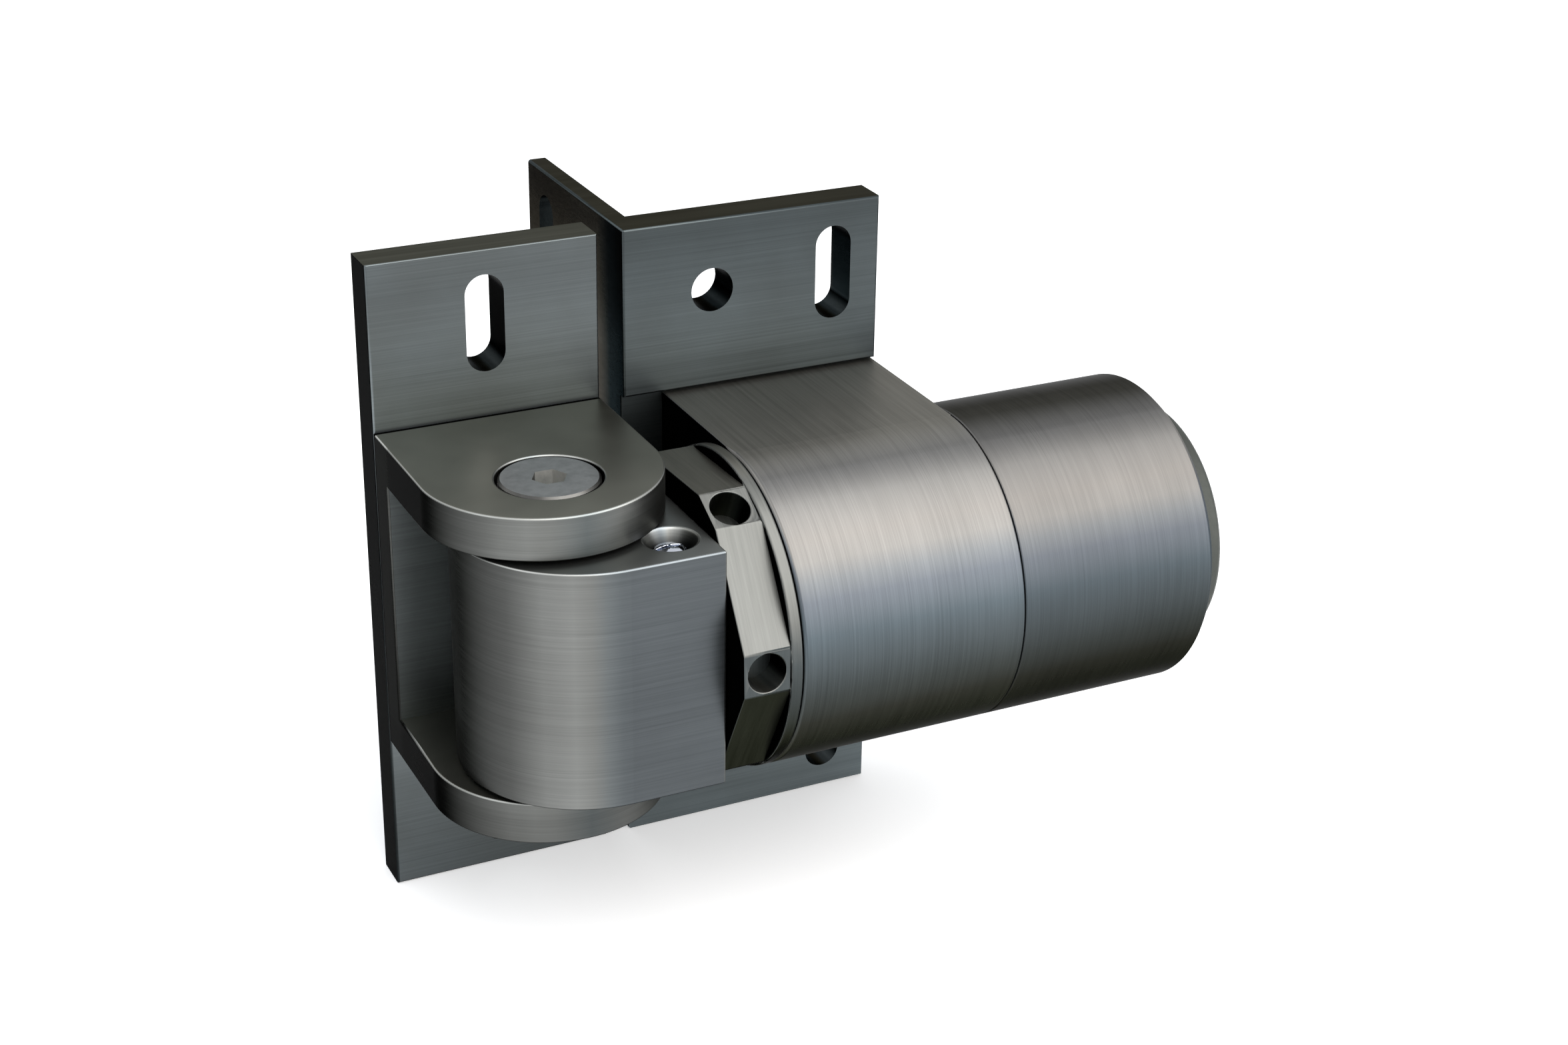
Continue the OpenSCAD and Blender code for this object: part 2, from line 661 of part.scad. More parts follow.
module guide_tube() {
    cross_slot = cross_pin_r + free;
    port_angle = atan2(sqrt(pow(tube_r, 2) - pow(valve_y, 2)), -valve_y);
    gallery_mid = (tube_r + tube_bore) / 2;
    color([0.42, 0.43, 0.45]) at_pin() difference() {
        ring_x(tube_x, tube_end, tube_r, tube_bore);
        bar_x(gland_end, gland_end + clip_t + 0.2, tube_bore + clip_depth + 0.1);
        for (s = [-1, 1]) translate([0, s * tube_r, 0]) {
            translate([cross_x - stroke, -tube_r / 2, -cross_slot])
                cube([stroke, tube_r, 2 * cross_slot]);
            for (x = [cross_x - stroke, cross_x])
                translate([x, tube_r / 2, 0]) rotate([90, 0, 0]) cylinder(r = cross_slot, h = tube_r);
        }
        rotate([90 - port_angle, 0, 0]) {
            translate([valve_x, 0, gallery_mid]) cylinder(r = gallery_r, h = tube_r);
            translate([valve_x, 0, gallery_mid]) rotate([0, 90, 0])
                cylinder(r = gallery_r, h = gland_x - valve_x - 2);
            translate([gland_x - 3, 0, 0]) cylinder(r = gallery_r, h = gallery_mid);
        }
    }
}

module rod_gland() {
    mid = (gland_x + gland_end) / 2;
    color([0.60, 0.50, 0.30]) at_pin() difference() {
        ring_x(gland_x, gland_end, piston_r, rod_r + fit);
        bar_x(mid - rod_seal_t / 2, mid + rod_seal_t / 2, rod_r + rod_seal_wall);
    }
}

module rod_seal() {
    mid = (gland_x + gland_end) / 2;
    color([0.10, 0.10, 0.10]) at_pin()
        ring_x(mid - rod_seal_t / 2 + 0.1, mid + rod_seal_t / 2 - 0.1,
            rod_r + rod_seal_wall - fit, rod_r + fit);
}

module gland_clip() {
    color([0.35, 0.35, 0.36]) at_pin() difference() {
        ring_x(gland_end + 0.1, gland_end + 0.1 + clip_t, tube_bore + clip_depth, tube_bore - 2.5);
        translate([gland_end - cut, -clip_mouth / 2, 0]) cube([clip_t + 3 * cut, clip_mouth, tube_r]);
    }
}

module rack_bar() {
    color([0.50, 0.51, 0.52]) at_pin() translate([0, 0, -rack_h / 2]) linear_extrude(rack_h) rack_outline();
}

module ball_place() {
    translate([piston_x, 0, -ball_y]) rotate([0, 90, 0]) children();
}

module damper_piston() {
    mid = (piston_x + piston_end) / 2;
    color([0.45, 0.46, 0.48]) at_pin() difference() {
        bar_x(piston_x, piston_end, piston_r);
        ring_x(mid - ring_t / 2, mid + ring_t / 2, tube_r, piston_r - ring_depth);
        bar_x(piston_x + 1.5, piston_end + cut, rod_r + fit);
        ball_place() translate([0, 0, -cut]) cylinder(d = ball_d * 0.6, h = piston_t + 2 * cut);
        ball_place() translate([0, 0, piston_t - ball_d * 0.9]) cylinder(d = ball_d + 0.2, h = ball_d + cut);
    }
}

module piston_ring() {
    mid = (piston_x + piston_end) / 2;
    color([0.30, 0.30, 0.31]) at_pin()
        ring_x(mid - ring_t / 2 + 0.05, mid + ring_t / 2 - 0.05, tube_bore - 0.03, piston_r - ring_depth + 0.2);
}

module check_ball() {
    // the ball rests on the rim of the hole behind it
    lift = sqrt(pow(ball_d / 2, 2) - pow(ball_d * 0.3, 2)) + 0.05;
    color([0.70, 0.70, 0.72]) at_pin() ball_place()
        translate([0, 0, piston_t - ball_d * 0.9 + lift]) sphere(d = ball_d);
}

module pull_rod() {
    color([0.72, 0.73, 0.75]) at_pin() turned_x([[0, piston_x + 1.5], [rod_r, piston_x + 1.5],
        [rod_r, cross_x - cross_pin_r - 1.2], [rod_r - 1, cross_x - cross_pin_r - 0.2],
        [0, cross_x - cross_pin_r - 0.2]]);
}

module rod_locknut() {
    color([0.40, 0.40, 0.41]) at_pin() difference() {
        translate([crosshead_x - locknut_t, 0, 0]) rotate([0, 90, 0])
            cylinder(d = locknut_af / cos(30), h = locknut_t, $fn = 6);
        bar_x(crosshead_x - locknut_t - cut, crosshead_x + cut, rod_r + fit);
    }
}

module crosshead() {
    color([0.42, 0.43, 0.44]) at_pin() difference() {
        bar_x(crosshead_x, crosshead_x + crosshead_l, piston_r - fit);
        bar_x(crosshead_x - cut, cross_x, rod_r + fit);
        translate([cross_x, tube_r, 0]) rotate([90, 0, 0]) cylinder(r = cross_pin_r + fit, h = 2 * tube_r);
    }
}

module cross_pin() {
    half = follower_r - 1;
    color([0.55, 0.55, 0.57]) at_pin() translate([cross_x, half, 0]) rotate([90, 0, 0])
        cylinder(r = cross_pin_r, h = 2 * half);
}

module spring_follower() {
    color([0.45, 0.46, 0.47]) at_pin() difference() {
        ring_x(follower_x, follower_x + follower_t, follower_r, tube_r + free);
        translate([cross_x, body_r, 0]) rotate([90, 0, 0]) cylinder(r = cross_pin_r + fit, h = body_d);
    }
}

module main_spring() {
    color([0.20, 0.22, 0.24]) at_pin() polyhedron(points = spring_points, faces = spring_faces);
}

module saddle_housing() {
    edge = 0.8; // chamfer round the front end
    color([0.40, 0.42, 0.45]) at_pin() difference() {
        union() {
            turned_x([[0, saddle_x], [body_r - edge, saddle_x], [body_r, saddle_x + edge],
                [body_r, saddle_end - 0.4], [body_r - 0.4, saddle_end], [0, saddle_end]]);
            translate([saddle_x, 0, -body_r]) cube([saddle_l, pin_to_face + channel_depth, body_d]);
        }
        bar_x(saddle_x - cut, saddle_end, collar_nose_r + fit);
        bar_x(saddle_x + saddle_wall, saddle_end + cut, bore_r);
        bar_x(saddle_end - spigot_l, saddle_end + cut, spigot_r + fit);
        translate([seat_key_x, -seat_key_w / 2, -seat_key_out])
            cube([seat_key_end - seat_key_x, seat_key_w, seat_key_h]);
        bracket_screw_places() sunk_hole(plate_t - channel_depth, screw_l);
    }
}

module rear_sleeve() {
    rim = 1.6; // chamfer of the rear rim
    color([0.40, 0.42, 0.45]) at_pin() difference() {
        union() {
            bar_x(saddle_end - spigot_l, saddle_end + 0.1, spigot_r);
            turned_x([[0, saddle_end], [body_r - 0.4, saddle_end], [body_r, saddle_end + 0.4],
                [body_r, sleeve_end - rim], [body_r - rim, sleeve_end], [0, sleeve_end]]);
        }
        bar_x(saddle_end - spigot_l - cut, sleeve_end + cut, bore_r);
    }
}

module end_cap() {
    rim = 1.2;
    cap_hole_d = 5;
    seal_x = plug_x + 3;
    color([0.28, 0.29, 0.28]) at_pin() difference() {
        turned_x([[0, plug_x], [bore_r - fit, plug_x], [bore_r - fit, seal_x],
            [bore_r - 2.6, seal_x], [bore_r - 2.6, seal_x + 3], [bore_r - fit, seal_x + 3],
            [bore_r - fit, sleeve_end], [cap_r, sleeve_end], [cap_r, cap_end - rim],
            [cap_r - rim, cap_end], [0, cap_end]]);
        bar_x(plug_x - cut, tube_end + 0.2, tube_r + fit);
        // two small holes for a pin spanner
        for (s = [-1, 1]) translate([cap_end - cap_hole_d, 0, s * cap_r * 0.56]) rotate([0, 90, 0])
            cylinder(d = cap_hole_d, h = cap_hole_d + cut);
    }
}

module end_cap_seal() {
    seal_x = plug_x + 3;
    color([0.10, 0.10, 0.10]) at_pin() ring_x(seal_x + 0.2, seal_x + 2.8, bore_r - 0.03, bore_r - 2.5);
}

module gate_bracket() {
    color([0.32, 0.33, 0.34]) at_pin() difference() {
        union() {
            translate([bracket_x, pin_to_face, -plate_h / 2]) cube([bracket_w, plate_t, plate_h]);
            translate([bracket_x, pin_back - cut, -plate_h / 2]) cube([leg_t, leg_l + cut, plate_h]);
        }
        slot_pair_y(gate_slot_x, pin_to_face - cut, plate_t + 2 * cut);
        slot_pair_x(bracket_x - cut, leg_slot_y, leg_t + 2 * cut);
        for (s = [-1, 1]) translate([gate_hole_x, pin_back + cut, s * slot_pitch / 2]) rotate([90, 0, 0])
            cylinder(d = gate_hole_d, h = plate_t + 2 * cut);
        translate([bracket_x - cut, pin_to_face - cut, -body_r - channel_gap])
            cube([bracket_w + 2 * cut, channel_depth + cut, 2 * (body_r + channel_gap)]);
        bracket_screw_places() sunk_hole(plate_t - channel_depth, screw_l);
    }
}

module bracket_screws() {
    color([0.25, 0.25, 0.26]) at_pin() bracket_screw_places() sunk_screw(screw_l);
}

post_plate();
fork();
fork_screws();
hinge_pin();
pin_key();
pin_end_disc();
pin_end_screw();
knuckle_block();
upper_bush();
lower_bush();
upper_pin_seal();
lower_pin_seal();
valve_screw();
valve_seal();
fill_plug();
thrust_washer();
adjuster_collar();
spring_seat();
seat_key();
guide_tube();
rod_gland();
rod_seal();
gland_clip();
rack_bar();
damper_piston();
piston_ring();
check_ball();
pull_rod();
rod_locknut();
crosshead();
cross_pin();
spring_follower();
main_spring();
saddle_housing();
rear_sleeve();
end_cap();
end_cap_seal();
gate_bracket();
bracket_screws();
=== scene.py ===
import json
import math
import bmesh
import bpy
import numpy as np
from mathutils import Matrix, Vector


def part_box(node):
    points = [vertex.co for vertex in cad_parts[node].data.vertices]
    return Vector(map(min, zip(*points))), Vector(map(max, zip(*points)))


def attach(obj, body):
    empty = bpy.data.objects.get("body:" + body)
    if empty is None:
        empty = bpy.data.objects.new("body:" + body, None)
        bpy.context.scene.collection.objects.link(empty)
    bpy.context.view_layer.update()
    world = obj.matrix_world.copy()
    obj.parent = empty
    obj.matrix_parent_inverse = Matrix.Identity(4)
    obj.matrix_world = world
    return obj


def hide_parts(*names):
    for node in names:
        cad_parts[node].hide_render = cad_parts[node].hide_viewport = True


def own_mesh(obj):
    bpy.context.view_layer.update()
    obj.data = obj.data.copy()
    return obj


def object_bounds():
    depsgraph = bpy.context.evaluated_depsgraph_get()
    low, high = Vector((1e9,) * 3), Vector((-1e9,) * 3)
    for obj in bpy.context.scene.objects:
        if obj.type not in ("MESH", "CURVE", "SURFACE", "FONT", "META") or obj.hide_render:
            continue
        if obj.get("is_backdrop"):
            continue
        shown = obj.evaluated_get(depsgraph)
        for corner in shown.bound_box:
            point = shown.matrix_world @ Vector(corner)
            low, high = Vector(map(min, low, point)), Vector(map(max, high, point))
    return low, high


# Self-closing gate hinge: plates, fork, knuckle block, adjuster collar, cylinder and bracket.
# Lengths in the dictionaries are in millimetres, and mm turns them into Blender's metres.

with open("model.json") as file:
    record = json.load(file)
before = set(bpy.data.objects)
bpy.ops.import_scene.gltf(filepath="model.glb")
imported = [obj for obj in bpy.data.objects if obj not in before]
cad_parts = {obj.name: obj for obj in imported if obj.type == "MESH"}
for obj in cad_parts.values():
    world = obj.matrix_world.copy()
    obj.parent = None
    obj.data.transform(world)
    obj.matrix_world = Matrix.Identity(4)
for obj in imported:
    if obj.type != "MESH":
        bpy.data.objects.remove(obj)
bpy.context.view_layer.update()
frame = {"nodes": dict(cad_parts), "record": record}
mm = 0.001
print("frame loaded:", len(frame["nodes"]), "nodes")

# The camera stands where the photo was taken. In the part's frame, right and down run along the
# picture's edges and forward runs into it.
cameraSettings = dict(
    place=(-215.3, -630.9, 316.3),
    right=(0.8998, -0.4360, 0.0147),
    down=(-0.1707, -0.3829, -0.9079),
    forward=(0.4015, 0.8144, -0.4189),
    lens=59.56,
    sensorWidth=36,
    nearest=10,
    farthest=50000,
)


def linked(name, data):
    # a new object in the scene, at the origin
    thing = bpy.data.objects.new(name, data)
    bpy.context.scene.collection.objects.link(thing)
    return thing


def stand(thing, place, axes):
    # the columns of its matrix are its own x, y and z arrows and then its place
    turned = Matrix(np.array(axes).T.tolist()).to_4x4()
    turned.translation = [v * mm for v in place]
    thing.matrix_world = turned


def makeCamera(s):
    # a camera looks along its own -z with y up, so down and forward change sign
    data = bpy.data.cameras.new("photoCamera")
    data.lens = s["lens"]
    data.sensor_width = s["sensorWidth"]
    data.sensor_fit = "HORIZONTAL"
    data.clip_start = s["nearest"] * mm
    data.clip_end = s["farthest"] * mm
    camera = linked("photoCamera", data)
    stand(camera, s["place"], [s["right"], -np.array(s["down"]), -np.array(s["forward"])])
    bpy.context.scene.camera = camera


makeCamera(cameraSettings)
bpy.context.scene.view_settings.view_transform = "Standard"
print("camera made")

# pale paper under a plain sky; the camera, mirrors and glass see both as white
stageSettings = dict(
    floorSize=60000,
    floorGap=0.2,                     # between the floor and the lowest piece
    floorColour=(0.93, 0.93, 0.93, 1),
    floorGlow=0.38,                   # what is seen of the floor is this plus the lit paper
    floorDim=(0.50, 0.50, 0.50, 1),   # the paper as it lights the object from below
    skyColour=(0.92, 0.96, 1.0, 1),
    skyStrength=0.80,
    backColour=(1, 1, 1, 1),          # what is seen of the sky
)

# each lamp looks at the origin
lampSettings = {
    "bigSoftbox": dict(
        place=(560, -1050, 960), size=(2200, 2700), watts=44.0, colour=(1.0, 0.955, 0.92)),
    "leftRim": dict(
        place=(-1300, -300, 900), size=(500, 900), watts=2.0, colour=(0.95, 0.97, 1.0)),
}


def newMaterial(name):
    # one with an empty node tree
    material = bpy.data.materials.new(name)
    material.use_nodes = True
    material.node_tree.nodes.clear()
    return material


def pickedByRay(tree, lighting, shown):
    # the largest of three flags picks shown, for the camera's own rays, mirrored ones and those
    # through glass; with all three at nought, lighting stays for the rest
    path = tree.nodes.new("ShaderNodeLightPath")
    seen = path.outputs["Is Camera Ray"]
    for ray in ("Is Glossy Ray", "Is Transmission Ray"):
        either = tree.nodes.new("ShaderNodeMath")
        either.operation = "MAXIMUM"
        tree.links.new(seen, either.inputs[0])
        tree.links.new(path.outputs[ray], either.inputs[1])
        seen = either.outputs[0]
    chosen = tree.nodes.new("ShaderNodeMixShader")
    for source, socket in zip((seen, lighting.outputs[0], shown.outputs[0]), chosen.inputs):
        tree.links.new(source, socket)
    return chosen.outputs[0]


def makeFloor(s):
    # a level square under the lowest piece; what is seen of it keeps the object's shadow
    half = s["floorSize"] / 2 * mm
    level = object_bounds()[0][2] - s["floorGap"] * mm
    corners = [(x * half, y * half, level) for x, y in ((-1, -1), (1, -1), (1, 1), (-1, 1))]
    mesh = bpy.data.meshes.new("floor")
    mesh.from_pydata(corners, [], [(0, 1, 2, 3)])
    floor = linked("floor", mesh)
    material = newMaterial("floorPaper")
    tree = material.node_tree
    paper = tree.nodes.new("ShaderNodeBsdfDiffuse")
    paper.inputs["Color"].default_value = s["floorColour"]
    glow = tree.nodes.new("ShaderNodeEmission")
    glow.inputs["Strength"].default_value = s["floorGlow"]
    white = tree.nodes.new("ShaderNodeAddShader")
    tree.links.new(paper.outputs[0], white.inputs[0])
    tree.links.new(glow.outputs[0], white.inputs[1])
    dim = tree.nodes.new("ShaderNodeBsdfDiffuse")
    dim.inputs["Color"].default_value = s["floorDim"]
    out = tree.nodes.new("ShaderNodeOutputMaterial")
    tree.links.new(pickedByRay(tree, dim, white), out.inputs[0])
    mesh.materials.append(material)
    floor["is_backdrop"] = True


def makeSky(s):
    # a soft light from all around, with a white sky seen in its place
    world = bpy.data.worlds.new("studio")
    world.use_nodes = True
    tree = world.node_tree
    light = tree.nodes["Background"]
    light.inputs[0].default_value = s["skyColour"]
    light.inputs[1].default_value = s["skyStrength"]
    plain = tree.nodes.new("ShaderNodeBackground")
    plain.inputs[0].default_value = s["backColour"]
    tree.links.new(pickedByRay(tree, light, plain), tree.nodes["World Output"].inputs[0])
    bpy.context.scene.world = world


def makeLamp(name, s):
    # a lamp shines along its own -z, so its z arrow runs from the origin to its place; its x arrow
    # is level, and its y arrow stands on both
    data = bpy.data.lights.new(name, "AREA")
    data.shape = "RECTANGLE"
    data.size, data.size_y = (v * mm for v in s["size"])
    data.energy = s["watts"]
    data.color = s["colour"]
    back = np.array(s["place"], float)
    back /= np.linalg.norm(back)
    side = np.cross((0, 0, 1), back)
    side /= np.linalg.norm(side)
    stand(linked(name, data), s["place"], [side, np.cross(back, side), back])


makeFloor(stageSettings)
makeSky(stageSettings)
for name, s in lampSettings.items():
    makeLamp(name, s)
print("stage and lamps made")


class Graph:
    # adds nodes to one material and links them
    noiseUsed = (0.3, 0.7)   # a noise seldom leaves this range

    def __init__(self, name):
        self.material = newMaterial(name)
        self.nodes = self.material.node_tree.nodes
        self.links = self.material.node_tree.links
        self.shader = self.nodes.new("ShaderNodeBsdfPrincipled")
        self.coords = self.nodes.new("ShaderNodeTexCoord")
        out = self.nodes.new("ShaderNodeOutputMaterial")
        self.links.new(self.shader.outputs[0], out.inputs[0])

    def fill(self, socket, value):
        # a number or a colour is set on the socket, and anything else is linked to it
        if isinstance(value, (int, float)):
            socket.default_value = value
        elif isinstance(value, tuple):
            socket.default_value = (*value, 1)
        else:
            self.links.new(value, socket)

    def noise(self, scale, detail, rough):
        # scale is in cells per metre along x, y and z
        mapping = self.nodes.new("ShaderNodeMapping")
        mapping.inputs["Scale"].default_value = scale
        self.fill(mapping.inputs["Vector"], self.coords.outputs["Object"])
        node = self.nodes.new("ShaderNodeTexNoise")
        node.inputs["Scale"].default_value = 1.0
        node.inputs["Detail"].default_value = detail
        node.inputs["Roughness"].default_value = rough
        self.fill(node.inputs["Vector"], mapping.outputs[0])
        return node.outputs["Fac"]

    def ranged(self, value, low, high, toLow=0, toHigh=1):
        # low to high becomes toLow to toHigh, evenly, and it goes no further on either side
        node = self.nodes.new("ShaderNodeMapRange")
        for socket, part in zip(node.inputs, (value, low, high, toLow, toHigh)):
            self.fill(socket, part)
        return node.outputs[0]

    def spread(self, noise, toLow=0, toHigh=1):
        # the part of a noise's range that it uses becomes toLow to toHigh
        return self.ranged(noise, *self.noiseUsed, toLow, toHigh)

    def maths(self, kind, a, b=0.0):
        node = self.nodes.new("ShaderNodeMath")
        node.operation = kind
        for socket, part in zip(node.inputs, (a, b)):
            self.fill(socket, part)
        return node.outputs[0]

    def mix(self, factor, a, b, kind="MIX"):
        node = self.nodes.new("ShaderNodeMix")
        node.data_type = "RGBA"
        node.blend_type = kind
        for k, part in ((0, factor), (6, a), (7, b)):   # the sockets of the colour kind
            self.fill(node.inputs[k], part)
        return node.outputs[2]

    def tinted(self, colour, tint):
        # red, green and blue each times the tint's own
        return self.mix(1.0, colour, tint, "MULTIPLY")

    def scaled(self, colour, factor):
        node = self.nodes.new("ShaderNodeVectorMath")
        node.operation = "SCALE"
        self.fill(node.inputs[0], colour)
        self.fill(node.inputs["Scale"], factor)
        return node.outputs[0]

    def ramp(self, value, low, high, stops):
        # straight lines between stops of (value from low to high, grey level or colour)
        node = self.nodes.new("ShaderNodeValToRGB")
        band = node.color_ramp
        band.interpolation = "LINEAR"
        places = [(at - low) / (high - low) for at, level in stops]
        colours = [(*np.broadcast_to(level, 3).tolist(), 1) for at, level in stops]
        for element, k in zip((band.elements[0], band.elements[1]), (0, -1)):
            element.position = places[k]
            element.color = colours[k]
        for at, colour in zip(places[1:-1], colours[1:-1]):
            band.elements.new(at).color = colour
        self.fill(node.inputs[0], self.ranged(value, low, high))
        return node.outputs[0]

    def axesOf(self, output):
        # x, y and z of where a point lies (Object) or of the way it faces (Normal)
        node = self.nodes.new("ShaderNodeSeparateXYZ")
        self.fill(node.inputs[0], self.coords.outputs[output])
        return node.outputs

    def bump(self, height, strength, distance):
        node = self.nodes.new("ShaderNodeBump")
        node.inputs["Strength"].default_value = strength
        node.inputs["Distance"].default_value = distance * mm
        self.fill(node.inputs["Height"], height)
        self.fill(self.shader.inputs["Normal"], node.outputs[0])


# Painted light and shade: highlight bands, bright rounded edges and dark sides and undersides,
# painted by the way a steel's faces look on their own object: the Sides by x and the Up by z, both
# from -1 to 1. Each stop has that number and the grey level or colour that goes with it.
blockSides = (
    (-1.0, 0.16), (-0.82, 0.31), (-0.62, 0.62), (-0.42, 0.72), (-0.30, 0.60),
    (-0.18, (0.44, 0.47, 0.50)), (-0.08, (0.34, 0.37, 0.405)), (0.0, (0.30, 0.325, 0.36)),
    (0.6, 0.50), (1.0, 0.40),
)
forkSides = (
    (-1.0, 0.06), (-0.82, 0.30), (-0.62, 0.54), (-0.45, 0.62), (-0.30, 0.57),
    (0.0, (0.35, 0.38, 0.40)), (0.30, 0.46), (0.80, 0.40), (1.0, 0.35),
)
plateSides = (
    (-1.0, 0.06), (-0.95, 0.12), (-0.80, 1.1), (-0.60, 1.4), (-0.45, 0.95), (0.0, 1.0),
    (0.60, 1.4), (1.0, 0.85),
)
legSides = ((-1.0, 0.30), (-0.95, 0.30)) + plateSides[2:]
evenSides = ((-1.0, 0.9), (0.0, 1.0), (1.0, 0.9))
pinSides = (
    (-1.0, 1.35), (-0.85, 1.30), (-0.60, 0.62), (-0.40, 0.62), (-0.1, 1.0), (0.1, 1.0),
    (0.5, 0.42), (1.0, 0.35),
)
# painted shade on faces that look up, the floors of holes and slots among them
plateUp = ((-1.0, 0.22), (-0.5, 0.45), (-0.1, 0.95), (0.15, 1.0), (0.30, 0.25), (1.0, 0.25))
# the high stops paint highlights on rounded edges that lean up
blockUp = (
    (-1.0, 0.22), (-0.5, 0.55), (-0.1, 0.95), (0.2, 1.0), (0.35, 2.9), (0.85, 2.9),
    (0.95, 1.0), (1.0, 1.0),
)
pinUp = (
    (-1.0, 0.3), (-0.1, 1.4), (0.1, 1.4), (0.2, 0.7), (0.5, 0.30), (0.85, 0.30),
    (0.95, 1.0), (1.0, 1.0),
)
# a painted highlight band along the upper side, and painted shade going dark underneath
cylinderUp = (
    (-1.0, 0.02), (-0.6, (0.110, 0.115, 0.090)), (-0.4, (0.116, 0.118, 0.100)),
    (-0.2, (0.153, 0.170, 0.166)), (0.0, (0.215, 0.252, 0.270)), (0.2, (0.250, 0.308, 0.350)),
    (0.4, (0.37, 0.41, 0.47)), (0.5, (0.52, 0.55, 0.58)), (0.6, (0.715, 0.700, 0.675)),
    (0.7, (0.760, 0.730, 0.695)), (0.85, (0.74, 0.73, 0.71)), (0.95, 0.55), (1.0, 1.0),
)
collarUp = (
    (-1.0, 0.02), (-0.85, 0.03), (-0.46, (0.150, 0.155, 0.125)), (-0.15, (0.24, 0.265, 0.275)),
    (0.04, (0.31, 0.345, 0.370)), (0.30, 0.56), (0.54, 0.87), (0.80, 0.95), (0.92, 0.96),
    (1.0, 0.80),
)
innerUp = ((-1.0, 0.8), (1.0, 1.0))

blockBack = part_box("knuckle_block")[1][1] / mm
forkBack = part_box("fork")[1][1] / mm
valveAxis = np.array(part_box("valve_screw"), float).mean(axis=0)[:2].tolist()   # metres

